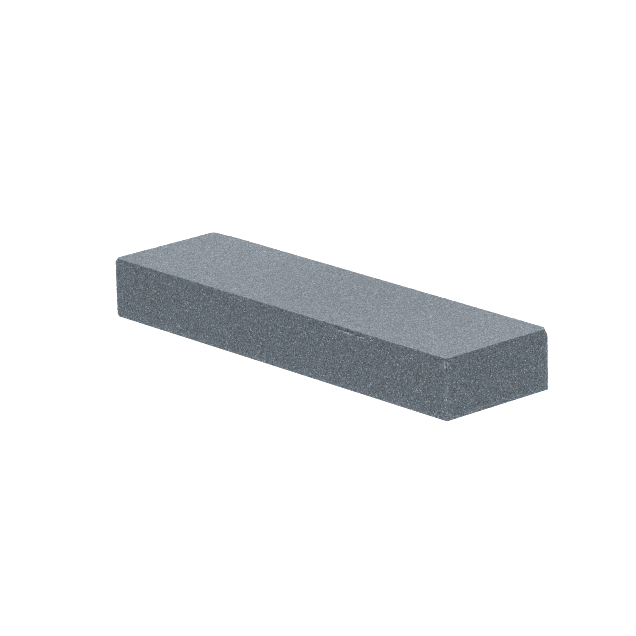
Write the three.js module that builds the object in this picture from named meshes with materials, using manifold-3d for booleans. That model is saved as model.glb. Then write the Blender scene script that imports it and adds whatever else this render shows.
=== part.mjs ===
// A bench whetstone: one block of silicon carbide grit in a fired bond, the same right through.
// Millimetres, +Z up. The origin is the middle of the bottom face, the length runs along X and
// the width along Y. Either large face can be the honing face.

import * as THREE from 'three';
import { mergeVertices } from 'three/addons/utils/BufferGeometryUtils.js';
import Module from 'manifold-3d';

// Driving dimensions. The width and the height are in proportion to the length.
const LENGTH = 150;
const WIDTH = 41.3;
const HEIGHT = 19.05;

// The arris is the narrow worn round between a large face and the four narrow ones.
const ARRIS = 0.35;
const ARRIS_STEPS = 3;
const CORNER_STEPS = 6;

// The four upright corners in turn: which end and side each is at, where its arc starts, and its
// radius. The left back corner has lost the most.
const UPRIGHT_CORNERS = [
  { end: 1, side: -1, start: -Math.PI / 2, radius: 0.5 },
  { end: 1, side: 1, start: 0, radius: 0.6 },
  { end: -1, side: 1, start: Math.PI / 2, radius: 2.1 },
  { end: -1, side: -1, start: Math.PI, radius: 0.55 },
];

// A chip off the top corner at the right end and the back: what it takes off each edge.
const CHIP_ACROSS = 1.5;
const CHIP_DOWN = 2.0;
const CHIP_CUTTER = 8;

// A shallow flake off the front face, just under its top arris.
const FLAKE = { x: 34.5, length: 13, down: 1.5, deep: 0.4 };
const FLAKE_SEGMENTS = [32, 20];

// A small pit in the upright corner at the right end and the front, close under the top.
const PIT = { belowTop: 1.6, height: 2.0, width: 1.3 };
const PIT_SEGMENTS = [16, 12];

const wasm = await Module();
wasm.setup();

// A closed three.js geometry as a solid that can be cut.
function solid(geometry) {
  const bare = geometry.clone();
  bare.deleteAttribute('normal');
  bare.deleteAttribute('uv');
  const merged = mergeVertices(bare, 1e-4);
  const vertProperties = new Float32Array(merged.attributes.position.array);
  const triVerts = new Uint32Array(merged.index.array);
  return new wasm.Manifold(new wasm.Mesh({ numProp: 3, vertProperties, triVerts }));
}

// A cut solid as a three.js geometry again.
function geometryOf(body) {
  const mesh = body.getMesh();
  const geometry = new THREE.BufferGeometry();
  geometry.setAttribute('position', new THREE.BufferAttribute(mesh.vertProperties, 3));
  geometry.setIndex(new THREE.BufferAttribute(mesh.triVerts, 1));
  geometry.computeVertexNormals();
  return geometry;
}

// The block's outline from above: a rectangle with an arc at each upright corner.
function planOutline() {
  const outline = new THREE.Shape();
  for (const { end, side, start, radius } of UPRIGHT_CORNERS) {
    const x = end * (LENGTH / 2 - radius);
    const y = side * (WIDTH / 2 - radius);
    outline.absarc(x, y, radius, start, start + Math.PI / 2, false);
  }
  outline.closePath();
  return outline;
}

// The whole block before its wear: the outline raised, with a round arris top and bottom.
function pressedBlock() {
  const block = new THREE.ExtrudeGeometry(planOutline(), {
    depth: HEIGHT - 2 * ARRIS,
    curveSegments: CORNER_STEPS,
    bevelEnabled: true,
    bevelThickness: ARRIS,
    bevelSize: ARRIS,
    bevelOffset: -ARRIS,
    bevelSegments: ARRIS_STEPS,
  });
  return block.translate(0, 0, ARRIS);
}

// What the chip takes: a box whose lower face lies on the plane through the chip's three corners.
function cornerChip() {
  const corner = new THREE.Vector3(LENGTH / 2, WIDTH / 2, HEIGHT);
  const outward = new THREE.Vector3(1 / CHIP_ACROSS, 1 / CHIP_ACROSS, 1 / CHIP_DOWN).normalize();
  const chipFace = corner.clone().sub(new THREE.Vector3(CHIP_ACROSS, 0, 0));
  const depth = corner.clone().sub(chipFace).dot(outward);
  const middle = corner.clone().addScaledVector(outward, CHIP_CUTTER / 2 - depth);
  const up = new THREE.Vector3(0, 0, 1);
  const turn = new THREE.Quaternion().setFromUnitVectors(up, outward);
  const cutter = new THREE.BoxGeometry(CHIP_CUTTER, CHIP_CUTTER, CHIP_CUTTER);
  return cutter.applyQuaternion(turn).translate(middle.x, middle.y, middle.z);
}

// What a flake or a pit takes: a ball stretched to the three sizes, sunk at the given place.
function scoop(place, size, segments) {
  const ball = new THREE.SphereGeometry(0.5, ...segments);
  return ball.scale(size.x, size.y, size.z).translate(place.x, place.y, place.z);
}

function frontFlake() {
  const place = new THREE.Vector3(FLAKE.x, -WIDTH / 2, HEIGHT);
  const size = new THREE.Vector3(FLAKE.length, 2 * FLAKE.deep, 2 * FLAKE.down);
  return scoop(place, size, FLAKE_SEGMENTS);
}

function cornerPit() {
  const place = new THREE.Vector3(LENGTH / 2, -WIDTH / 2, HEIGHT - PIT.belowTop);
  const size = new THREE.Vector3(PIT.width, PIT.width, PIT.height);
  return scoop(place, size, PIT_SEGMENTS);
}

// The block with its wear cut out of it.
function stoneBlock() {
  const wear = [cornerChip(), frontFlake(), cornerPit()];
  const worn = wear.reduce((body, cut) => body.subtract(solid(cut)), solid(pressedBlock()));
  const bondedGrit = new THREE.MeshStandardMaterial({
    color: 0x6f7881,
    roughness: 0.95,
    metalness: 0,
  });
  const mesh = new THREE.Mesh(geometryOf(worn), bondedGrit);
  mesh.name = 'stone_block';
  return mesh;
}

const whetstone = new THREE.Group();
whetstone.add(stoneBlock());

export default whetstone;
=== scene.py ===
"""A bench whetstone: its worn block, its fired grit and a small pale studio round it.

The stone is one solid block of silicon carbide grit in a fired bond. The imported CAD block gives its
size and place, and this script models the surface that a hand would feel: a rounded upright corner,
ragged arrises, chipped corners, a flaked edge and the grain itself. Lengths are in metres, and
MM turns millimetres into them.
"""

import logging
import math
from dataclasses import dataclass
from enum import Enum

import bpy
import numpy as np
from mathutils import Matrix, Vector, noise


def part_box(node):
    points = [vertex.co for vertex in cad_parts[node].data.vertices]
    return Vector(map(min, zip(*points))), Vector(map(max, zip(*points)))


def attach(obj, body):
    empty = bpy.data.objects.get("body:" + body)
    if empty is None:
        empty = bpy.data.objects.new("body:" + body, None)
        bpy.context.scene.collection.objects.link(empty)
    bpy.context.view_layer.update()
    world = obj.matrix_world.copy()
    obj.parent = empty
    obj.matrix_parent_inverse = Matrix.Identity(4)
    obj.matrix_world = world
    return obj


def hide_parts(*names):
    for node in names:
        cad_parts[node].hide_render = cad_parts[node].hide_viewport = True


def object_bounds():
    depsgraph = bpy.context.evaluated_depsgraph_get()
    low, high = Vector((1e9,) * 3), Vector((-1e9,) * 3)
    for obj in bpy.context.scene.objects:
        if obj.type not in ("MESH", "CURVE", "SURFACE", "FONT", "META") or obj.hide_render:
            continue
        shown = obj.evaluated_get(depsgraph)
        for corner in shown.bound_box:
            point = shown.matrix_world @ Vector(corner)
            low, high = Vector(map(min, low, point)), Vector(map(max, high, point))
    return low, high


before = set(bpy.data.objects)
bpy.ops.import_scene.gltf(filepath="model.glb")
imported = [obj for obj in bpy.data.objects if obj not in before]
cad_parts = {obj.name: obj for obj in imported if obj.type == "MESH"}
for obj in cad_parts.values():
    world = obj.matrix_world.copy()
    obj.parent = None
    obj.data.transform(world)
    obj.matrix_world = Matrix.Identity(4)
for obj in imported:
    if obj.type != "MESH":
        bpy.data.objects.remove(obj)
CAD_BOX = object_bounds()

MM = 0.001
BODY = "root"
CAD_NODE = "stone_block"
# The attribute that carries the marks: freshly broken grit, painted light and painted shade.
MARKS_WITH_PAINTED_LIGHT = "marks_with_painted_light"

# How exactly a cut lands, how near a face a point is on it, and the least share that moves a point.
CUT_TOLERANCE = 0.001 * MM
ON_FACE = 0.05 * MM
LEAST_SHARE = 0.001

# The widths of the marks: the lip of a scar, a thin line, a spot, the rim of a pit and a blunt corner.
LIP = 0.28 * MM
THIN = 0.24 * MM
SPOT = 0.36 * MM
RIM = 0.5 * MM
BLUNT = 0.8 * MM

# Where a Mix node keeps its two colours and its mixed one, as its sockets share their names.
MIX_FIRST, MIX_SECOND, MIX_RESULT = 6, 7, 2

Place = tuple[float, float, float]

log = logging.getLogger("whetstone")


class Corner(Enum):
    """The upright corners of the block, each as its end (X) and its side (Y)."""

    RIGHT_FRONT = (1, -1)
    RIGHT_BACK = (1, 1)
    LEFT_BACK = (-1, 1)
    LEFT_FRONT = (-1, -1)


class Pattern(Enum):
    """The kinds of relief that a layer can press into the surface."""

    CLOUDS = "BLENDER_ORIGINAL"
    GRAINS = "VORONOI_F1"


def smooth_step(values: np.ndarray) -> np.ndarray:
    """Turns values from 0 to 1 into an eased rise from 0 to 1, and holds the ends."""
    held = np.clip(values, 0.0, 1.0)
    return held * held * (3.0 - 2.0 * held)


def unevenness(points: np.ndarray, size: float, seed: float) -> np.ndarray:
    """Gives each point a smooth random value.

    Args:
        points: one point in each row.
        size: the distance over which the value changes.
        seed: tells one pattern from another.

    Returns:
        One value from -1 to 1 for each point.
    """
    shift = Vector((seed, -seed, 2.0 * seed))
    return np.array([noise.noise(Vector(point) / size + shift) for point in points])


class Workbench:
    """Holds one mesh object and shapes it with Blender's own modelling tools."""

    def __init__(self, piece: bpy.types.Object) -> None:
        """Takes the piece to be worked on."""
        self.piece = piece

    def take_up(self) -> None:
        """Makes the piece the only selected object, and the active one."""
        bpy.ops.object.select_all(action="DESELECT")
        self.piece.select_set(True)
        bpy.context.view_layer.objects.active = self.piece

    def points(self) -> np.ndarray:
        """Reads the places of the vertices.

        Returns:
            The place of every vertex, one in each row.
        """
        vertices = self.piece.data.vertices
        places = np.empty(len(vertices) * 3, np.float32)
        vertices.foreach_get("co", places)
        return places.reshape(-1, 3).astype(float)

    def face_centres(self) -> np.ndarray:
        """Reads the middles of the faces.

        Returns:
            The middle of every face, one in each row.
        """
        faces = self.piece.data.polygons
        centres = np.empty(len(faces) * 3, np.float32)
        faces.foreach_get("center", centres)
        return centres.reshape(-1, 3).astype(float)

    def face_widths(self) -> np.ndarray:
        """Measures the faces.

        Returns:
            The side of a square as large as each face.
        """
        faces = self.piece.data.polygons
        areas = np.empty(len(faces), np.float32)
        faces.foreach_get("area", areas)
        return np.sqrt(areas.astype(float))

    def round_edge(self, middle: Vector, radius: float, steps: int) -> None:
        """Rounds the one edge whose middle is at a given place.

        Args:
            middle: the middle of the edge.
            radius: the radius of the round.
            steps: how many flat strips make the round.
        """
        mesh = self.piece.data
        self.take_up()
        self._clear_selection("EDGE")
        nearest = min(
            mesh.edges,
            key=lambda edge: (
                (mesh.vertices[edge.vertices[0]].co + mesh.vertices[edge.vertices[1]].co) / 2 - middle
            ).length,
        )
        nearest.select = True
        for corner in nearest.vertices:
            mesh.vertices[corner].select = True
        bpy.ops.object.mode_set(mode="EDIT")
        bpy.ops.mesh.bevel(offset=radius, segments=steps, profile=0.5, clamp_overlap=False)
        bpy.ops.object.mode_set(mode="OBJECT")

    def cut(self, place: Vector, normal: Vector, throw_away: bool = False) -> None:
        """Cuts the whole piece along a plane.

        Args:
            place: a point on the plane.
            normal: the plane's normal.
            throw_away: whether what lies beyond the plane is removed and the cut closed.
        """
        self.take_up()
        bpy.ops.object.mode_set(mode="EDIT")
        bpy.ops.mesh.select_all(action="SELECT")
        bpy.ops.mesh.bisect(
            plane_co=place,
            plane_no=normal,
            use_fill=throw_away,
            clear_outer=throw_away,
            threshold=CUT_TOLERANCE,
        )
        bpy.ops.object.mode_set(mode="OBJECT")

    def halve_faces(self, wanted: np.ndarray, wider_than: float) -> None:
        """Cuts the wanted faces in half both ways, where they are still too wide.

        Args:
            wanted: True for each face that may be cut.
            wider_than: faces no wider than this stay whole.
        """
        wide = self.face_widths() > wider_than
        self.take_up()
        self._clear_selection("FACE")
        self.piece.data.polygons.foreach_set("select", wanted & wide)
        bpy.ops.object.mode_set(mode="EDIT")
        bpy.ops.mesh.subdivide(number_cuts=1, ngon=False, quadcorner="INNERVERT")
        bpy.ops.object.mode_set(mode="OBJECT")

    def remove_faces(self, wanted: np.ndarray) -> None:
        """Takes faces away.

        Args:
            wanted: True for each face that goes.
        """
        self.take_up()
        self._clear_selection("FACE")
        self.piece.data.polygons.foreach_set("select", wanted)
        bpy.ops.object.mode_set(mode="EDIT")
        bpy.ops.mesh.delete(type="FACE")
        bpy.ops.object.mode_set(mode="OBJECT")

    def split_all(self, levels: int) -> None:
        """Cuts every face in half both ways.

        Args:
            levels: how many times.
        """
        self.take_up()
        bpy.ops.object.modifier_add(type="SUBSURF")
        modifier = self.piece.modifiers[-1]
        modifier.subdivision_type = "SIMPLE"
        modifier.levels = levels
        modifier.render_levels = levels
        bpy.ops.object.modifier_apply(modifier=modifier.name)

    def push(
        self,
        depth: float,
        weights: np.ndarray,
        direction: str = "NORMAL",
        texture: bpy.types.Texture | None = None,
        middle: float = 0.0,
    ) -> None:
        """Moves the surface by a depth, vertex by vertex.

        Args:
            depth: how far the surface moves where both weight and pattern are 1.
            weights: a share of the depth for each vertex, from 0 to 1.
            direction: NORMAL, or the axis that the surface moves along.
            texture: the pattern that spreads the depth, or None for the full depth.
            middle: the value of the pattern at which nothing moves.
        """
        self.take_up()
        group = self.piece.vertex_groups.new(name="share")
        for index in np.flatnonzero(weights > LEAST_SHARE):
            group.add([int(index)], float(weights[index]), "REPLACE")
        bpy.ops.object.modifier_add(type="DISPLACE")
        modifier = self.piece.modifiers[-1]
        modifier.direction = direction
        modifier.strength = depth
        modifier.mid_level = middle
        modifier.vertex_group = group.name
        modifier.texture_coords = "LOCAL"
        if texture is not None:
            modifier.texture = texture
        bpy.ops.object.modifier_apply(modifier=modifier.name)
        self.piece.vertex_groups.remove(self.piece.vertex_groups["share"])

    def _clear_selection(self, mode: str) -> None:
        """Deselects every part of the mesh and chooses what is selected next.

        Args:
            mode: VERT, EDGE or FACE.
        """
        bpy.ops.object.mode_set(mode="EDIT")
        bpy.ops.mesh.select_mode(type=mode)
        bpy.ops.mesh.select_all(action="DESELECT")
        bpy.ops.object.mode_set(mode="OBJECT")


@dataclass(frozen=True)
class Relief:
    """One layer of unevenness: its kind, how large its lumps are, how deep it goes and its spread."""

    name: str
    pattern: Pattern
    size: float
    depth: float
    middle: float = 0.5
    contrast: float = 1.0
    octaves: int = 1

    def texture(self) -> bpy.types.Texture:
        """Makes the layer's pattern.

        Returns:
            The pattern, for a Displace modifier to follow.
        """
        clouds = bpy.data.textures.new(self.name, "CLOUDS")
        clouds.noise_basis = self.pattern.value
        clouds.noise_scale = self.size
        clouds.noise_depth = self.octaves
        clouds.contrast = self.contrast
        return clouds

    def press(self, bench: Workbench, weights: np.ndarray) -> None:
        """Moves the surface in and out by this layer, as far as the weights let it."""
        bench.push(self.depth, weights, texture=self.texture(), middle=self.middle)


@dataclass(frozen=True)
class Flake:
    """A shallow scar where the grit has flaked off the front face, just under its top arris.

    Its lower edge wanders and ends in a steep ledge, its two ends taper, and its floor is grainy.
    """

    middle: float
    half_length: float
    down: float
    deep: float
    seed: float
    reach: float = 0.6 * MM
    skin: float = 0.3 * MM
    bluntness: float = 2.6
    wander: float = 0.15 * MM
    wander_size: float = 0.9 * MM
    ledge: float = 0.2 * MM
    taper: float = 0.25
    floor: float = 0.8
    grain: float = 0.35
    grain_size: float = 0.45 * MM
    grain_seed: float = 7.0
    arris_share: float = 0.25
    arris_depth: float = 0.5 * MM

    def near(self, points: np.ndarray, block: "Blank", margin: float) -> np.ndarray:
        """Finds the points on the front face that are close to the scar.

        Args:
            points: vertices or face middles.
            block: the stone before its wear.
            margin: how far from the scar a point may be.

        Returns:
            True for each point that is close enough.
        """
        along = np.abs(points[:, 0] - self.middle) < self.half_length + margin
        down = block.height - points[:, 2] < self.down + margin
        front = points[:, 1] < -block.width / 2 + margin
        return along & down & front

    def shares(self, points: np.ndarray, block: "Blank") -> np.ndarray:
        """Returns the share of the scar's depth at each point.

        Args:
            points: the surface's vertices.
            block: the stone before its wear.

        Returns:
            1 inside the scar, 0 outside it, with a steep ledge between them at its lower edge.
        """
        shares = np.zeros(len(points))
        touched = np.flatnonzero(self.near(points, block, self.reach))
        spots = points[touched]
        along = (spots[:, 0] - self.middle) / self.half_length
        down = block.height - spots[:, 2]
        outline = np.sqrt(np.clip(1.0 - np.abs(along) ** self.bluntness, 0.0, 1.0))
        wander = unevenness(spots, self.wander_size, self.seed)
        edge = self.down * outline + self.wander * wander
        ledge = smooth_step((edge - down) / self.ledge)
        ends = smooth_step((1.0 - np.abs(along)) / self.taper)
        lumps = unevenness(spots, self.grain_size, self.seed + self.grain_seed)
        grain = self.floor + self.grain * lumps
        arris = smooth_step(down / self.arris_depth)
        under_arris = self.arris_share + (1.0 - self.arris_share) * arris
        front = spots[:, 1] < -block.width / 2 + self.skin
        shares[touched] = np.clip(ledge * ends * grain * under_arris, 0.0, 1.0) * front
        return shares


@dataclass(frozen=True)
class Dent:
    """A small hollow knocked out of an arris or a face, or a corner that is worn blunt."""

    centre: Place
    spread: Place
    deep: float
    seed: float
    reach: float = 0.4 * MM
    wander: float = 0.2
    wander_size: float = 0.5 * MM

    def near(self, points: np.ndarray, margin: float) -> np.ndarray:
        """Says which points lie within a margin of the hollow."""
        reach = np.array(self.spread) + margin
        return np.all(np.abs(points - np.array(self.centre)) < reach, axis=1)

    def shares(self, points: np.ndarray) -> np.ndarray:
        """Works out how deep the hollow is, from its ragged rim inwards.

        Args:
            points: the surface's vertices.

        Returns:
            The share of the hollow's depth at each point.
        """
        shares = np.zeros(len(points))
        touched = np.flatnonzero(self.near(points, self.reach))
        spots = points[touched]
        away = np.linalg.norm((spots - np.array(self.centre)) / np.array(self.spread), axis=1)
        wander = unevenness(spots, self.wander_size, self.seed)
        shares[touched] = np.clip(1.0 - away + self.wander * wander, 0.0, 1.0)
        return shares


@dataclass(frozen=True)
class MarkOrPaintedLight:
    """A short line or spot: light where the grit is freshly broken or where painted light stands for a lit
    ledge or facet, dark where painted shade stands for the shadow in a crack, a pit or under a ledge.
    """

    start: Place
    end: Place
    width: float
    lightness: float
    reach: float = 0.4 * MM
    patchiness: float = 0.35
    patch_size: float = 0.6 * MM
    patch_seed: float = 11.0
    softness: float = 1.5
    darkest: float = -0.35

    def near(self, points: np.ndarray, margin: float) -> np.ndarray:
        """Says which points lie within a margin of the line."""
        return self._away(points) < self.width / 2 + margin

    def shares(self, points: np.ndarray) -> np.ndarray:
        """Works out how light or dark the mark is, with an uneven edge.

        Args:
            points: the surface's vertices.

        Returns:
            How light each point is, below 0 where it is dark.
        """
        shares = np.zeros(len(points))
        touched = np.flatnonzero(self.near(points, self.reach))
        spots = points[touched]
        patches = 1.0 + self.patchiness * unevenness(spots, self.patch_size, self.patch_seed)
        edge = smooth_step(self.softness - self._away(spots) / (self.width / 2))
        shares[touched] = np.clip(self.lightness * patches * edge, self.darkest, 1.0)
        return shares

    def _away(self, points: np.ndarray) -> np.ndarray:
        """Measures how far points are from the line.

        Args:
            points: one point in each row.

        Returns:
            The distance of each point.
        """
        start, end = np.array(self.start), np.array(self.end)
        run = end - start
        along = np.clip((points - start) @ run / (run @ run), 0.0, 1.0)
        return np.linalg.norm(points - start - along[:, None] * run, axis=1)


@dataclass(frozen=True)
class Chip:
    """A corner broken off along a plane: which corner, top or bottom, and what it takes off."""

    corner: Corner
    at_top: bool
    across: float
    down: float
    calm: float = 1.3

    def tip(self, block: "Blank") -> Vector:
        """Finds where the corner was before it broke off.

        Args:
            block: the stone before its wear.

        Returns:
            The place of the sharp corner.
        """
        end, side = self.corner.value
        level = block.height if self.at_top else 0.0
        return Vector((end * block.length / 2, side * block.width / 2, level))

    def plane(self, block: "Blank") -> tuple[Vector, Vector]:
        """Finds the plane that the corner broke along.

        Args:
            block: the stone before its wear.

        Returns:
            A point on the broken face, and the direction that it faces.
        """
        end, side = self.corner.value
        up = 1 if self.at_top else -1
        place = self.tip(block) - Vector((end * self.across, 0.0, 0.0))
        normal = Vector((end / self.across, side / self.across, up / self.down))
        return place, normal.normalized()

    def kept(self, points: np.ndarray, block: "Blank") -> np.ndarray:
        """Returns 0 for points on the broken face, rising to 1 away from it."""
        away = np.linalg.norm(points - np.array(self.tip(block)), axis=1)
        return smooth_step(away / (self.calm * (self.across + self.down)))


@dataclass(frozen=True)
class Blank:
    """The pressed and fired block before its wear: its size, its upright corners and how it wears.

    An upright corner that has no radius of its own is sharp.
    """

    length: float
    width: float
    height: float
    radii: dict[Corner, float]
    arris_band: float = 1.0 * MM
    bottom_wear: float = 0.03
    upright_wear: float = 0.4
    top_wear: float = 1.0
    far_top_wear: float = 0.3
    far_reach: float = 5.0 * MM

    def on_front(self, along: float, down: float) -> Place:
        """Returns a place on the front face by its X and its depth under the top, in millimetres."""
        return along * MM, -self.width / 2, self.height - down * MM

    def by_corner(self, corner: Corner, from_end: float, from_side: float, up: float) -> Place:
        """Returns a place close to an upright corner.

        Args:
            corner: the upright corner.
            from_end: how far in from the corner's end face, in millimetres.
            from_side: how far in from the corner's side face, in millimetres.
            up: the height above the bottom, in millimetres.

        Returns:
            The place, in metres.
        """
        end, side = corner.value
        x = end * (self.length / 2 - from_end * MM)
        y = side * (self.width / 2 - from_side * MM)
        return x, y, up * MM

    def side_depth(self, points: np.ndarray) -> np.ndarray:
        """Measures how far points are inside the plan outline.

        Args:
            points: the surface's vertices.

        Returns:
            The distance of each point, 0 on the narrow faces.
        """
        depth = np.zeros(len(points))
        for corner in Corner:
            past_end, past_side = self._past_corner(points, corner)
            outside = np.hypot(np.maximum(past_end, 0.0), np.maximum(past_side, 0.0))
            inside = np.minimum(np.maximum(past_end, past_side), 0.0)
            here = self._in_quarter(points, corner)
            depth[here] = (self.radii.get(corner, 0.0) - outside - inside)[here]
        return depth

    def arris_distance(self, points: np.ndarray) -> np.ndarray:
        """Measures how far surface points are from the nearest arris.

        Args:
            points: the surface's vertices.

        Returns:
            The distance of each point, along the surface.
        """
        side = self.side_depth(points)
        cap = np.minimum(points[:, 2], self.height - points[:, 2])
        distance = np.maximum(side, cap)
        on_side = side < ON_FACE
        for corner in Corner:
            past_end, past_side = self._past_corner(points, corner)
            upright = np.maximum(np.maximum(-past_end, -past_side), 0.0)
            here = self._in_quarter(points, corner) & on_side
            distance[here] = np.minimum(distance, upright)[here]
        return distance

    def arris_wear(self, points: np.ndarray, reach: float) -> np.ndarray:
        """Returns how worn each point is for lying near an arris.

        Args:
            points: the surface's vertices.
            reach: how far from an arris its wear ends.

        Returns:
            1 on the top arrises at the front and the right end, less on the other two and on the
            upright ones, and next to nothing on the bottom ones.
        """
        near = smooth_step(1.0 - self.arris_distance(points) / reach)
        levels = [0.0, self.arris_band, self.height - self.arris_band, self.height]
        below = [self.bottom_wear, self.upright_wear, self.upright_wear]
        most = np.interp(points[:, 2], levels, below + [self.top_wear])
        least = np.interp(points[:, 2], levels, below + [self.far_top_wear])
        from_front = points[:, 1] + self.width / 2
        from_right = self.length / 2 - points[:, 0]
        far = smooth_step(np.minimum(from_front, from_right) / self.far_reach)
        return near * (most + (least - most) * far)

    def _past_corner(self, points: np.ndarray, corner: Corner) -> tuple[np.ndarray, np.ndarray]:
        """Measures how far points are past the start of a corner's round.

        Args:
            points: one point in each row.
            corner: the upright corner.

        Returns:
            The distance of each point along X, and along Y.
        """
        end, side = corner.value
        radius = self.radii.get(corner, 0.0)
        past_end = end * points[:, 0] - (self.length / 2 - radius)
        past_side = side * points[:, 1] - (self.width / 2 - radius)
        return past_end, past_side

    def _in_quarter(self, points: np.ndarray, corner: Corner) -> np.ndarray:
        """Says which points are in a corner's quarter of the plan."""
        end, side = corner.value
        return (end * points[:, 0] >= 0.0) & (side * points[:, 1] >= 0.0)


@dataclass(frozen=True)
class GritFinish:
    """Silicon carbide grit in a grey fired bond: matt and speckled, with dark pores of painted shade and a
    few bright grains painted as glints.

    Tones are shares of the colour. Each pair of tones or shares is the least and the most.
    """

    length: float
    width: float
    height: float
    name: str = "fired_grit"
    colour: tuple[float, float, float] = (0.1470, 0.1868, 0.2237)
    warm_grain: tuple[float, float, float] = (1.055, 1.0, 0.965)
    cool_grain: tuple[float, float, float] = (0.945, 1.0, 1.035)
    turn: tuple[float, float, float] = (0.6, 0.35, 0.8)
    grain: float = 0.22 * MM
    # The top of the grain tones is painted glints: grains made very bright as if catching the light.
    grain_and_glint_tones: tuple[tuple[float, float], ...] = (
        (0.0, 0.065), (0.15, 0.12), (0.5, 0.19), (0.8, 0.275), (0.94, 0.39), (0.98, 0.55), (1.0, 0.9)
    )
    tone_gain: float = 4.3
    # The painted glints turn greyer as they get brighter.
    grey_from: tuple[float, float] = (0.8, 2.6)
    greyest: float = 0.4
    relief: float = 0.8
    relief_height: float = 0.07 * MM
    # Painted shade in the open pores: their size, rim, share and tones.
    pore: float = 0.35 * MM
    pore_rim: tuple[float, float] = (0.12, 0.42)
    pore_share: float = 0.4
    pore_shade_tones: tuple[float, float] = (0.56, 1.04)
    cloud: float = 2.6 * MM
    cloud_octaves: float = 2.0
    cloud_spread: tuple[float, float] = (0.25, 0.75)
    cloud_tones: tuple[float, float] = (0.98, 1.02)
    roughness: float = 0.9
    facet_roughness: float = 0.45
    facets_above: float = 0.93
    specular: float = 0.35
    honed_depth: float = 0.25 * MM
    honed_evenness: float = 0.08
    # Caps on the painted glints, lower on the honed top.
    brightest: float = 5.0
    honed_brightest: float = 1.95
    # Lighter upright arrises for wear, and painted bounce light along the foot of the sides.
    arris_wear_and_foot_light: float = 0.28
    arris_reach: float = 2.0 * MM
    # Darker towards the middle of the top face.
    top_middle_dark: float = 0.09
    top_dark_middle: tuple[float, float] = (12.0 * MM, 8.0 * MM)
    top_dark_reach: tuple[float, float] = (52.0 * MM, 34.0 * MM)
    # Light for freshly broken grit and painted light, dark for painted shade.
    mark_light_and_shade_gain: float = 2.2

    def material(self) -> bpy.types.Material:
        """Makes the finish.

        Returns:
            A node material on object coordinates.
        """
        material = bpy.data.materials.new(self.name)
        material.use_nodes = True
        wiring = Wiring(material.node_tree)
        place = wiring.add("ShaderNodeTexCoord").outputs["Object"]
        turned = wiring.add("ShaderNodeMapping", inputs={"Rotation": self.turn})
        wiring.join(place, turned.inputs["Vector"])
        grit = turned.outputs["Vector"]
        cells = wiring.add("ShaderNodeTexVoronoi", inputs={"Scale": 1.0 / self.grain})
        wiring.join(grit, cells.inputs["Vector"])
        chance = wiring.add("ShaderNodeSeparateColor")
        wiring.join(cells.outputs["Color"], chance.inputs["Color"])

        tone = self._grain_and_painted_glint_tone(wiring, chance.outputs["Red"])
        # Painted shade in the open pores.
        tone = wiring.number("MULTIPLY", tone, self._painted_pore_shade(wiring, grit))
        on_top = self._on_top(wiring, place)
        # Painted glints, capped lower on the honed top.
        limit = wiring.spread(on_top, 0.0, 1.0, self.brightest, self.honed_brightest)
        tone = wiring.number("MINIMUM", tone, limit)
        honed = wiring.number("MULTIPLY", on_top, self.honed_evenness)
        tone = wiring.number("MULTIPLY_ADD", honed, wiring.number("SUBTRACT", 1.0, tone), tone)
        tone = wiring.number("MULTIPLY", tone, self._wide_tone(wiring, grit))
        tone = wiring.number("MULTIPLY", tone, self._wear_marks_and_painted_light_tone(wiring, place))
        shade = wiring.add("ShaderNodeVectorMath", operation="SCALE")
        wiring.join(self._tint(wiring, chance.outputs["Green"], tone), shade.inputs[0])
        wiring.join(tone, shade.inputs["Scale"])

        facet = wiring.number("GREATER_THAN", chance.outputs["Blue"], self.facets_above)
        gloss = wiring.spread(facet, 0.0, 1.0, self.roughness, self.facet_roughness)
        sizes = {"Strength": self.relief, "Distance": self.relief_height}
        bump = wiring.add("ShaderNodeBump", inputs=sizes)
        height = wiring.number("SUBTRACT", chance.outputs["Red"], cells.outputs["Distance"])
        wiring.join(height, bump.inputs["Height"])

        surface = wiring.add("ShaderNodeBsdfPrincipled")
        surface.inputs["Specular IOR Level"].default_value = self.specular
        wiring.join(shade.outputs[0], surface.inputs["Base Color"])
        wiring.join(gloss, surface.inputs["Roughness"])
        wiring.join(bump.outputs["Normal"], surface.inputs["Normal"])
        output = wiring.add("ShaderNodeOutputMaterial")
        wiring.join(surface.outputs["BSDF"], output.inputs["Surface"])
        return material

    def _grain_and_painted_glint_tone(self, wiring: "Wiring", chance: bpy.types.NodeSocket) -> bpy.types.NodeSocket:
        """Gives each grain its own tone: most near the middle and a few dark, with a few very bright ones as
        painted glints.

        Args:
            wiring: the material's nodes.
            chance: a random number for each grain.

        Returns:
            The tone.
        """
        curve = wiring.add("ShaderNodeFloatCurve")
        wiring.shape_curve(curve, self.grain_and_glint_tones)
        wiring.join(chance, curve.inputs["Value"])
        return wiring.number("MULTIPLY", curve.outputs[0], self.tone_gain)

    def _painted_pore_shade(self, wiring: "Wiring", place: bpy.types.NodeSocket) -> bpy.types.NodeSocket:
        """Paints shade into the open pores between the grains.

        Args:
            wiring: the material's nodes.
            place: the turned object coordinates.

        Returns:
            The tone, near 1 outside the pores.
        """
        pores = wiring.add("ShaderNodeTexVoronoi", inputs={"Scale": 1.0 / self.pore})
        wiring.join(place, pores.inputs["Vector"])
        inside, outside = self.pore_rim
        open_to = wiring.spread(pores.outputs["Distance"], inside, outside, 1.0, 0.0)
        chance = wiring.add("ShaderNodeSeparateColor")
        wiring.join(pores.outputs["Color"], chance.inputs["Color"])
        some = wiring.number("LESS_THAN", chance.outputs["Red"], self.pore_share)
        darkest, lightest = self.pore_shade_tones
        return wiring.spread(wiring.number("MULTIPLY", open_to, some), 0.0, 1.0, lightest, darkest)

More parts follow.
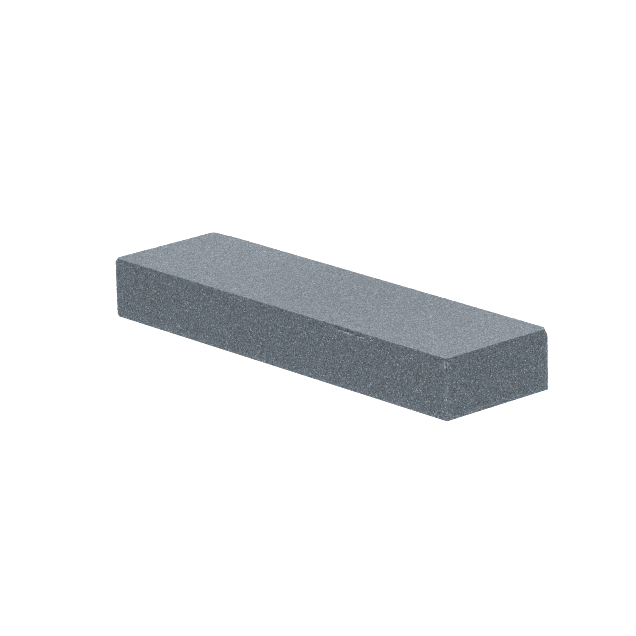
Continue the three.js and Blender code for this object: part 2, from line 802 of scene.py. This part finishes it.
    def _wide_tone(self, wiring: "Wiring", place: bpy.types.NodeSocket) -> bpy.types.NodeSocket:
        """Lets the tone wander a little from place to place.

        Args:
            wiring: the material's nodes.
            place: the turned object coordinates.

        Returns:
            The tone, near 1.
        """
        sizes = {"Scale": 1.0 / self.cloud, "Detail": self.cloud_octaves}
        cloud = wiring.add("ShaderNodeTexNoise", inputs=sizes)
        wiring.join(place, cloud.inputs["Vector"])
        return wiring.spread(cloud.outputs["Fac"], *self.cloud_spread, *self.cloud_tones)

    def _on_top(self, wiring: "Wiring", place: bpy.types.NodeSocket) -> bpy.types.NodeSocket:
        """Picks out the honed top face.

        Args:
            wiring: the material's nodes.
            place: the object coordinates.

        Returns:
            1 on the top face, and 0 everywhere else.
        """
        axes = wiring.add("ShaderNodeSeparateXYZ")
        wiring.join(place, axes.inputs["Vector"])
        return wiring.number("GREATER_THAN", axes.outputs["Z"], self.height - self.honed_depth)

    def _wear_marks_and_painted_light_tone(self, wiring: "Wiring", place: bpy.types.NodeSocket) -> bpy.types.NodeSocket:
        """Lightens the worn upright arrises, paints bounce light along the foot of the sides, adds the marks
        with their painted light and shade, and makes the top darker towards its middle.

        Args:
            wiring: the material's nodes.
            place: the object coordinates.

        Returns:
            The tone, 1 where nothing is worn, marked or painted.
        """
        axes = wiring.add("ShaderNodeSeparateXYZ")
        wiring.join(place, axes.inputs["Vector"])
        across, along, up = axes.outputs["Y"], axes.outputs["X"], axes.outputs["Z"]
        from_end = wiring.number("SUBTRACT", self.length / 2, wiring.number("ABSOLUTE", along))
        from_side = wiring.number("SUBTRACT", self.width / 2, wiring.number("ABSOLUTE", across))
        from_upright = wiring.number("MAXIMUM", from_end, from_side)
        from_bottom = wiring.number("MAXIMUM", wiring.number("MINIMUM", from_end, from_side), up)
        from_arris = wiring.number("MINIMUM", from_upright, from_bottom)
        # The upright arrises are lighter for wear. The band along the foot of the sides is painted bounce
        # light.
        arris = wiring.spread(from_arris, 0.0, self.arris_reach, self.arris_wear_and_foot_light, 0.0)

        # Darker towards the middle of the top face.
        squares = []
        for place_along, centre, reach in zip((along, across), self.top_dark_middle, self.top_dark_reach):
            from_middle = wiring.number("SUBTRACT", place_along, centre)
            squares.append(wiring.number("POWER", wiring.number("DIVIDE", from_middle, reach), 2.0))
        middle = wiring.spread(wiring.number("ADD", *squares), 0.0, 1.0, self.top_middle_dark, 0.0)
        hollow = wiring.number("MULTIPLY", middle, self._on_top(wiring, place))

        # The marks: freshly broken grit, painted light on ledges and facets, and painted shade in cracks and
        # under ledges.
        marks_light_and_shade = wiring.add("ShaderNodeAttribute", attribute_name=MARKS_WITH_PAINTED_LIGHT)
        mark_light_and_shade_tone = wiring.number("MULTIPLY", marks_light_and_shade.outputs["Fac"], self.mark_light_and_shade_gain)
        lighter = wiring.number("ADD", wiring.number("ADD", arris, mark_light_and_shade_tone), 1.0)
        return wiring.number("SUBTRACT", lighter, hollow)

    def _tint(
        self, wiring: "Wiring", chance: bpy.types.NodeSocket, tone: bpy.types.NodeSocket
    ) -> bpy.types.NodeSocket:
        """Makes some grains a little warmer than others, and the painted glints greyer.

        Args:
            wiring: the material's nodes.
            chance: a random number for each grain.
            tone: how bright each grain is.

        Returns:
            The colour.
        """
        warm, cool = (
            [level * share for level, share in zip(self.colour, shares)]
            for shares in (self.warm_grain, self.cool_grain)
        )
        tint = wiring.add("ShaderNodeMix", data_type="RGBA")
        wiring.join(chance, tint.inputs["Factor"])
        tint.inputs[MIX_FIRST].default_value = (*warm, 1.0)
        tint.inputs[MIX_SECOND].default_value = (*cool, 1.0)
        grey = self.colour[1]
        greyer = wiring.add("ShaderNodeMix", data_type="RGBA")
        wiring.join(wiring.spread(tone, *self.grey_from, 0.0, self.greyest), greyer.inputs["Factor"])
        wiring.join(tint.outputs[MIX_RESULT], greyer.inputs[MIX_FIRST])
        greyer.inputs[MIX_SECOND].default_value = (grey, grey, grey, 1.0)
        return greyer.outputs[MIX_RESULT]


class Wiring:
    """Adds nodes to one material and joins them."""

    def __init__(self, tree: bpy.types.NodeTree) -> None:
        """Takes an emptied node tree."""
        self.tree = tree
        tree.nodes.clear()

    def add(
        self, kind: str, inputs: dict[str, float | Place] | None = None, **settings: str
    ) -> bpy.types.Node:
        """Adds one node.

        Args:
            kind: Blender's name for the node type.
            inputs: values for unlinked inputs, by name.
            settings: the node's own options.

        Returns:
            The new node.
        """
        node = self.tree.nodes.new(kind)
        for name, value in settings.items():
            setattr(node, name, value)
        for name, value in (inputs or {}).items():
            node.inputs[name].default_value = value
        return node

    def join(self, source: bpy.types.NodeSocket, target: bpy.types.NodeSocket) -> None:
        """Leads one socket into another."""
        self.tree.links.new(source, target)

    def number(self, operation: str, *values: bpy.types.NodeSocket | float) -> bpy.types.NodeSocket:
        """Works out a number.

        Args:
            operation: what a Math node does.
            values: what it takes in, as sockets and constants.

        Returns:
            The socket with the result.
        """
        node = self.add("ShaderNodeMath", operation=operation)
        for slot, value in zip(node.inputs, values):
            if isinstance(value, bpy.types.NodeSocket):
                self.join(value, slot)
            else:
                slot.default_value = value
        return node.outputs[0]

    def spread(
        self, source: bpy.types.NodeSocket, low: float, high: float, to_low: float, to_high: float
    ) -> bpy.types.NodeSocket:
        """Maps a value from one range to another, held at the ends.

        Args:
            source: the value.
            low: the start of its own range.
            high: the end of its own range.
            to_low: what the start becomes.
            to_high: what the end becomes.

        Returns:
            The socket with the result.
        """
        limits = {"From Min": low, "From Max": high, "To Min": to_low, "To Max": to_high}
        node = self.add("ShaderNodeMapRange", inputs=limits)
        self.join(source, node.inputs["Value"])
        return node.outputs["Result"]

    def shape_curve(self, node: bpy.types.Node, stops: tuple[tuple[float, float], ...]) -> None:
        """Gives a curve node its stops.

        Args:
            node: the curve node.
            stops: each stop's input and output, from left to right.
        """
        curve = node.mapping.curves[0]
        curve.points[0].location = stops[0]
        curve.points[-1].location = stops[-1]
        for stop in stops[1:-1]:
            curve.points.new(*stop)
        node.mapping.update()


@dataclass(frozen=True)
class Whetstone:
    """The worn stone: how finely it is modelled, and each mark of its wear, some of them carrying painted
    light and shade.

    The bands are how far from an arris the grid is made finer. The mark grades are how far round a
    mark it is made finer, each with the width that a face may keep there.
    """

    left_back_radius: float = 2.1 * MM
    cage_cuts: tuple[int, int, int] = (24, 7, 3)
    split_levels: int = 3
    corner_steps: int = 4
    arris_bands: tuple[float, ...] = (0.8 * MM, 0.42 * MM)
    mark_grades: tuple[tuple[float, float], ...] = (
        (0.9 * MM, 0.5 * MM), (0.6 * MM, 0.25 * MM), (0.3 * MM, 0.14 * MM)
    )
    crown_drop: float = 0.03 * MM
    crown_power: float = 2.5
    wide_reach: float = 0.5 * MM
    close_reach: float = 0.36 * MM
    chips: tuple[Chip, ...] = (
        Chip(Corner.RIGHT_BACK, True, 1.5 * MM, 2.0 * MM),
        Chip(Corner.LEFT_FRONT, True, 1.2 * MM, 1.0 * MM),
        Chip(Corner.LEFT_FRONT, False, 0.8 * MM, 0.7 * MM),
    )
    flakes: tuple[Flake, ...] = (
        Flake(middle=31.9 * MM, half_length=3.9 * MM, down=1.35 * MM, deep=0.32 * MM, seed=1.0),
        Flake(middle=38.6 * MM, half_length=2.4 * MM, down=1.35 * MM, deep=0.2 * MM, seed=2.0),
    )
    arris_chips: Relief = Relief(
        "arris_chips", Pattern.CLOUDS, 1.3 * MM, 0.2 * MM, middle=0.42, contrast=1.6, octaves=2
    )
    arris_grains: Relief = Relief(
        "arris_grains", Pattern.GRAINS, 0.6 * MM, 0.48 * MM, middle=0.34, contrast=1.5
    )
    face_grain: Relief = Relief("face_grain", Pattern.CLOUDS, 1.5 * MM, 0.03 * MM, middle=0.75)

    def build(self) -> bpy.types.Object:
        """Models the worn block in the place of the CAD one.

        Returns:
            The finished piece, riding with the CAD body.
        """
        low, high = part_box(CAD_NODE)
        size = high - low
        blank = Blank(size.x, size.y, size.z, {Corner.LEFT_BACK: self.left_back_radius})
        bench = self._rough_out((low + high) / 2, size)
        self._round_corners(bench, blank)
        self._chip_corners(bench, blank)
        self._lay_grid(bench, blank)
        self._refine(bench, blank)
        self._store_marks_and_painted_light(bench, blank)
        self._wear(bench, blank)
        self._press_grain(bench, blank)
        return self._dress(bench.piece, blank)

    def _rough_out(self, middle: Vector, size: Vector) -> Workbench:
        """Starts the block as a plain box.

        Args:
            middle: the middle of the box.
            size: its three sides.

        Returns:
            The box, ready to be worked on.
        """
        bpy.ops.object.select_all(action="DESELECT")
        bpy.ops.mesh.primitive_cube_add(size=1.0, location=middle, scale=size)
        piece = bpy.context.object
        piece.name = "whetstone_block"
        bpy.ops.object.transform_apply(location=True, rotation=True, scale=True)
        return Workbench(piece)

    def _round_corners(self, bench: Workbench, blank: Blank) -> None:
        """Rounds each upright corner that has a radius.

        Args:
            bench: the piece at hand.
            blank: the stone before its wear.
        """
        for corner, radius in blank.radii.items():
            end, side = corner.value
            middle = Vector((end * blank.length / 2, side * blank.width / 2, blank.height / 2))
            bench.round_edge(middle, radius, self.corner_steps)

    def _chip_corners(self, bench: Workbench, blank: Blank) -> None:
        """Breaks off each chipped or blunt corner.

        Args:
            bench: the piece at hand.
            blank: the stone before its wear.
        """
        for chip in self.chips:
            place, normal = chip.plane(blank)
            bench.cut(place, normal, throw_away=True)

    def _lay_grid(self, bench: Workbench, blank: Blank) -> None:
        """Cuts the faces into an even grid, fine enough to carry relief.

        Args:
            bench: the piece at hand.
            blank: the stone before its wear.
        """
        sizes = (blank.length, blank.width, blank.height)
        starts = (-blank.length / 2, -blank.width / 2, 0.0)
        for axis, (size, start, count) in enumerate(zip(sizes, starts, self.cage_cuts)):
            normal = Vector((axis == 0, axis == 1, axis == 2))
            for step in range(1, count):
                bench.cut(normal * (start + size * step / count), normal)
        bench.split_all(self.split_levels)

    def _refine(self, bench: Workbench, blank: Blank) -> None:
        """Makes the grid finer along every arris and round every mark.

        Args:
            bench: the piece at hand.
            blank: the stone before its wear.
        """
        for band in self.arris_bands:
            bench.halve_faces(blank.arris_distance(bench.face_centres()) < band, band / 2)
        for margin, width in self.mark_grades:
            centres = bench.face_centres()
            marked = np.zeros(len(centres), bool)
            for flake in self.flakes:
                marked |= flake.near(centres, blank, margin)
            for mark in self._dents(blank) + self._light_and_shade_marks(blank):
                marked |= mark.near(centres, margin)
            bench.halve_faces(marked, width)

    def _dents(self, blank: Blank) -> tuple[Dent, ...]:
        """Lists the hollows knocked out of the block.

        Args:
            blank: the stone before its wear.

        Returns:
            The corner pit and its rim, the dent beside the flake, and the worn end of the back arris.
        """
        right, left = blank.length / 2, -blank.length / 2
        front, back, top = -blank.width / 2, blank.width / 2, blank.height
        return (
            Dent((right, front, top - 1.5 * MM), (0.8 * MM, 0.8 * MM, 1.2 * MM), 0.6 * MM, 3.0),
            Dent((right, front, top), (1.0 * MM, 1.0 * MM, 0.7 * MM), 0.35 * MM, 4.0),
            Dent((32.9 * MM, front, top), (0.6 * MM, 0.45 * MM, 0.45 * MM), 0.45 * MM, 6.0),
            Dent((left + 3.0 * MM, back, top), (5.0 * MM, 0.8 * MM, 0.8 * MM), 0.3 * MM, 9.0),
        )

    def _light_and_shade_marks(self, blank: Blank) -> tuple[MarkOrPaintedLight, ...]:
        """Lists the light and dark marks: freshly broken grit, painted light and painted shade.

        Args:
            blank: the stone before its wear.

        Returns:
            The lips of the scars, the marks round the corner pit, the blunt corner, a scuff and stray spots.
        """
        front, top = -blank.width / 2, blank.height
        face, near, left = blank.on_front, Corner.RIGHT_FRONT, Corner.LEFT_FRONT
        at = blank.by_corner
        return (
            # The lips of the scars: freshly broken grit, and painted light on the narrow up-facing ledges.
            MarkOrPaintedLight(face(28.2, 1.58), face(29.3, 1.45), LIP, 0.7),
            MarkOrPaintedLight(face(29.3, 1.32), face(30.8, 1.08), LIP, 0.6),
            MarkOrPaintedLight(face(31.0, 1.5), face(33.2, 1.3), LIP, 1.0),
            MarkOrPaintedLight(face(33.4, 1.45), face(35.3, 1.4), LIP, 0.45),
            MarkOrPaintedLight(face(38.2, 1.6), face(40.2, 1.24), LIP, 0.5),
            MarkOrPaintedLight(face(37.3, 1.55), face(37.5, 1.6), SPOT, 0.6),
            MarkOrPaintedLight(face(37.4, 2.2), face(37.5, 2.2), SPOT, 0.6),
            MarkOrPaintedLight(at(near, 0.5, 0.0, 18.1), at(near, 0.5, 0.0, 17.5), RIM, 1.0),
            MarkOrPaintedLight(at(near, 0.6, 0.0, 16.5), at(near, 0.4, 0.0, 16.5), RIM, 1.0),
            MarkOrPaintedLight(at(near, 0.0, 0.6, 17.6), at(near, 0.0, 0.7, 16.8), RIM, 0.8),
            # Painted light on the blunt corner's upward facet.
            MarkOrPaintedLight(at(left, 0.1, 0.5, 18.5), at(left, 1.0, 0.0, 18.6), BLUNT, 0.3),
            # Painted shade: dark spots under the near corner's ledge and in its pit.
            MarkOrPaintedLight(at(near, 0.5, 0.0, 18.6), at(near, 0.0, 0.0, 18.65), SPOT, -0.35),
            MarkOrPaintedLight(at(near, 0.0, 0.0, 18.65), at(near, 0.0, 1.0, 18.5), SPOT, -0.35),
            MarkOrPaintedLight(at(near, 0.0, 0.0, 17.6), at(near, 0.0, 0.0, 17.4), SPOT, -0.3),
            MarkOrPaintedLight(at(near, 0.0, 0.1, 16.3), at(near, 0.0, 0.2, 15.2), SPOT, -0.35),
            MarkOrPaintedLight(at(near, 0.0, 0.55, 10.5), at(near, 0.0, 0.55, 8.9), THIN, 0.35),
            MarkOrPaintedLight(at(near, 5.2, 0.0, 0.8), at(near, 4.0, 0.0, 2.4), THIN, 0.6),
            MarkOrPaintedLight((-28.5 * MM, front, 6.9 * MM), (-28.3 * MM, front, 6.9 * MM), SPOT, 0.8),
            MarkOrPaintedLight((-46.4 * MM, 14.9 * MM, top), (-46.4 * MM, 16.8 * MM, top), SPOT, 0.4),
        )

    def _wear(self, bench: Workbench, blank: Blank) -> None:
        """Wears the block: the scars, the dents and the faintly crowned top.

        Args:
            bench: the piece at hand.
            blank: the stone before its wear.
        """
        for flake in self.flakes:
            bench.push(flake.deep, flake.shares(bench.points(), blank), direction="Y")
        for dent in self._dents(blank):
            bench.push(-dent.deep, dent.shares(bench.points()))
        points = bench.points()
        top = points[:, 2] > blank.height - ON_FACE
        crown = np.where(top, np.abs(2 * points[:, 0] / blank.length) ** self.crown_power, 0.0)
        bench.push(-self.crown_drop, crown, direction="Z")

    def _press_grain(self, bench: Workbench, blank: Blank) -> None:
        """Makes the arrises ragged, and the faces faintly uneven.

        Args:
            bench: the piece at hand.
            blank: the stone before its wear.
        """
        points = bench.points()
        sound = np.prod([chip.kept(points, blank) for chip in self.chips], axis=0)
        wide = blank.arris_wear(points, self.wide_reach) * sound
        close = blank.arris_wear(points, self.close_reach) * sound
        self.arris_chips.press(bench, wide)
        self.arris_grains.press(bench, close)
        self.face_grain.press(bench, np.ones(len(points)))

    def _store_marks_and_painted_light(self, bench: Workbench, blank: Blank) -> None:
        """Writes onto each vertex how light or dark its marks make it, painted light and shade included,
        before the wear moves it.

        Args:
            bench: the piece at hand.
            blank: the stone before its wear.
        """
        points = bench.points()
        marks_light_and_shade = np.zeros(len(points))
        for mark_or_painted_light in self._light_and_shade_marks(blank):
            shares = mark_or_painted_light.shares(points)
            marks_light_and_shade = np.where(np.abs(shares) > np.abs(marks_light_and_shade), shares, marks_light_and_shade)
        layer = bench.piece.data.attributes.new(MARKS_WITH_PAINTED_LIGHT, "FLOAT", "POINT")
        layer.data.foreach_set("value", marks_light_and_shade.astype(np.float32))

    def _dress(self, piece: bpy.types.Object, blank: Blank) -> bpy.types.Object:
        """Gives the piece its finish and its place in the frame.

        Args:
            piece: the worn block.
            blank: the stone before its wear.

        Returns:
            The finished piece.
        """
        Workbench(piece).take_up()
        bpy.ops.object.shade_smooth()
        piece.data.materials.append(GritFinish(blank.length, blank.width, blank.height).material())
        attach(piece, BODY)
        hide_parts(CAD_NODE)
        log.info("%s: %d faces", piece.name, len(piece.data.polygons))
        return piece


@dataclass(frozen=True)
class Studio:
    """A white table top under one wide soft light, and the camera that looks down on the near corner.

    The table is a disc with a low upright rim. Its glow halves with each foot_reach from the stone.
    The angles are in degrees, and the lens and the sensor in millimetres.
    """

    table_radius: float = 3.0
    table_sides: int = 96
    rim_height: float = 0.3
    lid_level: float = 0.9
    glow: float = 0.95
    foot_glow: float = 0.16
    foot_reach: float = 6.0 * MM
    table_tone: float = 0.15
    fill: float = 0.12
    light_size: float = 0.9
    light_height: float = 1.6
    light_shift: float = 0.05
    light_power: float = 50.2
    light_colour: tuple[float, float, float] = (1.0, 0.914, 0.874)
    sharpness: float = 1.05
    azimuth: float = 48.323
    elevation: float = 17.143
    roll: float = -1.365
    distance: float = 1296.45 * MM
    aim: tuple[float, float, float] = (-3.75 * MM, 0.365 * MM, 9.866 * MM)
    lens: float = 240.18
    sensor: float = 36.0
    nearest: float = 0.05
    farthest: float = 20.0

    def build(self) -> None:
        """Sets up the table, the light, the fill and the camera."""
        self._set_view()
        self._lay_table()
        self._hang_light()
        self._add_fill()
        self._place_camera()

    def _set_view(self) -> None:
        """Shows colours as they are, with no film look, and keeps the grit's fine speckle sharp."""
        bpy.context.scene.cycles.filter_width = self.sharpness
        bpy.context.scene.cycles.denoising_prefilter = "NONE"
        view = bpy.context.scene.view_settings
        view.view_transform = "Standard"
        view.look = "None"
        view.exposure = 0.0
        view.gamma = 1.0

    def _lay_table(self) -> None:
        """Makes the round table top with its upright rim, lit from within like a light table."""
        bpy.ops.object.select_all(action="DESELECT")
        bpy.ops.mesh.primitive_cylinder_add(
            vertices=self.table_sides,
            radius=self.table_radius,
            depth=self.rim_height,
            location=(0.0, 0.0, self.rim_height / 2),
        )
        bpy.ops.object.transform_apply(location=True)
        table = bpy.context.object
        table.name = "table_top"
        bench = Workbench(table)
        bench.remove_faces(bench.face_centres()[:, 2] > self.lid_level * self.rim_height)
        table.data.materials.append(self._table_finish())

    def _table_finish(self) -> bpy.types.Material:
        """Makes a white that glows evenly, and a little more close round the foot of the stone.

        Returns:
            The table top's material.
        """
        material = bpy.data.materials.new("white_table")
        material.use_nodes = True
        wiring = Wiring(material.node_tree)
        place = wiring.add("ShaderNodeTexCoord").outputs["Object"]
        reach = wiring.add("ShaderNodeVectorMath", operation="ABSOLUTE")
        wiring.join(place, reach.inputs[0])
        beyond = wiring.add("ShaderNodeVectorMath", operation="SUBTRACT")
        wiring.join(reach.outputs[0], beyond.inputs[0])
        beyond.inputs[1].default_value = CAD_BOX[1]
        outside = wiring.add("ShaderNodeVectorMath", operation="MAXIMUM")
        wiring.join(beyond.outputs[0], outside.inputs[0])
        away = wiring.add("ShaderNodeVectorMath", operation="LENGTH")
        wiring.join(outside.outputs[0], away.inputs[0])
        reaches = wiring.number("DIVIDE", away.outputs["Value"], self.foot_reach)
        near = wiring.number("POWER", 0.5, reaches)
        glow = wiring.number("MULTIPLY_ADD", near, self.foot_glow, self.glow)
        surface = wiring.add("ShaderNodeBsdfPrincipled")
        tone = self.table_tone
        surface.inputs["Base Color"].default_value = (tone, tone, tone, 1.0)
        surface.inputs["Roughness"].default_value = 1.0
        surface.inputs["Specular IOR Level"].default_value = 0.0
        surface.inputs["Emission Color"].default_value = (1.0, 1.0, 1.0, 1.0)
        wiring.join(glow, surface.inputs["Emission Strength"])
        output = wiring.add("ShaderNodeOutputMaterial")
        wiring.join(surface.outputs["BSDF"], output.inputs["Surface"])
        return material

    def _hang_light(self) -> None:
        """Hangs the wide soft light above the stone, a little towards its right end."""
        bpy.ops.object.light_add(type="AREA", location=(self.light_shift, 0.0, self.light_height))
        light = bpy.context.object
        light.name = "soft_light"
        light.data.shape = "SQUARE"
        light.data.size = self.light_size
        light.data.energy = self.light_power
        light.data.color = self.light_colour

    def _add_fill(self) -> None:
        """Lets a little even light in from all round."""
        world = bpy.data.worlds.new("even_fill")
        world.use_nodes = True
        background = world.node_tree.nodes["Background"]
        background.inputs["Color"].default_value = (1.0, 1.0, 1.0, 1.0)
        background.inputs["Strength"].default_value = self.fill
        bpy.context.scene.world = world

    def _place_camera(self) -> None:
        """Stands the camera off from the stone, a little above it and off one corner."""
        bpy.ops.object.camera_add()
        camera = bpy.context.object
        camera.name = "camera"
        camera.data.lens = self.lens
        camera.data.sensor_width = self.sensor
        camera.data.clip_start = self.nearest
        camera.data.clip_end = self.farthest
        turn = Matrix.Rotation(math.radians(self.azimuth), 4, "Z")
        tilt = Matrix.Rotation(math.radians(90.0 - self.elevation), 4, "X")
        lean = Matrix.Rotation(math.radians(self.roll), 4, "Z")
        stand_off = Matrix.Translation((0.0, 0.0, self.distance))
        camera.matrix_world = Matrix.Translation(self.aim) @ turn @ tilt @ lean @ stand_off
        bpy.context.scene.camera = camera


def main() -> None:
    """Builds the stone and the studio, and reports the stone."""
    logging.basicConfig(level=logging.INFO, format="%(name)s: %(message)s")
    Studio().build()
    stone = Whetstone().build()
    log.info("%s replaces %s", stone.name, CAD_NODE)


if __name__ == "__main__":
    main()
